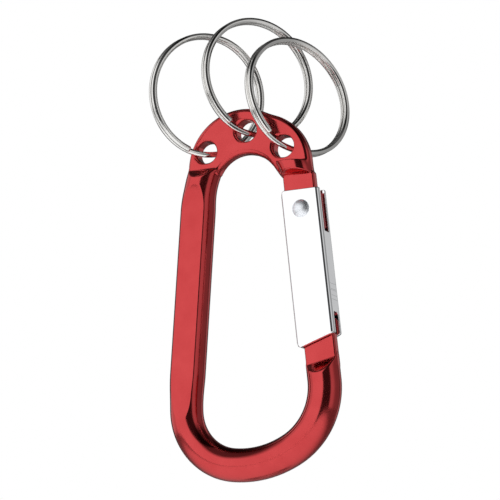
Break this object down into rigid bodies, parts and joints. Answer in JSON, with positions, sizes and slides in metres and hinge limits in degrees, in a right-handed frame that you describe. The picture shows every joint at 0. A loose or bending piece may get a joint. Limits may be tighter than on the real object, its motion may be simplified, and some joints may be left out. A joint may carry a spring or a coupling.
{
  "type": "carabiner keyring",
  "caption": "Bent-rod snap clip with a sprung folded gate and split rings through its flattened end, for carrying keys.",
  "frame": {"origin": "a point in the clip's loop opening, in the clip's middle plane, level with the middle of the spine", "axes": "+X from the spine to the gate, +Y from the front face to the back, +Z along the spine towards the ring plate"},
  "size_m": [0.0433, 0.0293, 0.101],
  "materials": {
    "red_anodised": "satin red anodised",
    "gate_plated": "bright plated steel sheet",
    "rivet_steel": "polished steel",
    "spring_steel": "drawn spring wire",
    "ring_plated": "nickel plated steel"
  },
  "bodies": {
    "frame": {"frame_body": "red_anodised"},
    "gate": {"gate": "gate_plated", "hinge_rivet": "rivet_steel", "gate_spring": "spring_steel"},
    "ring_left": {"split_ring_left": "ring_plated"},
    "ring_middle": {"split_ring_middle": "ring_plated"},
    "ring_right": {"split_ring_right": "ring_plated"}
  },
  "joints": [
    {"name": "gate_hinge", "type": "hinge", "parent": "frame", "child": "gate", "pos_m": [0.01153, 0, 0.0191], "axis": [0, 1, 0], "range_deg": [0, 44], "stiffness_Nm_per_rad": 0.03, "springref_deg": -34.38, "deforming": ["gate_spring"]},
    {"name": "ring_left_swing", "type": "hinge", "parent": "frame", "child": "ring_left", "pos_m": [-0.01162, 0.00008, 0.03179], "axis": [-0.6269, -0.7693, -0.123], "range_deg": [-2, 18]},
    {"name": "ring_middle_swing", "type": "hinge", "parent": "frame", "child": "ring_middle", "pos_m": [-0.00258, -0.00009, 0.03619], "axis": [-0.604, -0.7795, 0.1663], "range_deg": [-2, 2]},
    {"name": "ring_right_swing", "type": "hinge", "parent": "frame", "child": "ring_right", "pos_m": [0.00643, -0.00016, 0.03296], "axis": [-0.5439, -0.78, 0.3095], "range_deg": [-30, 0]}
  ]
}
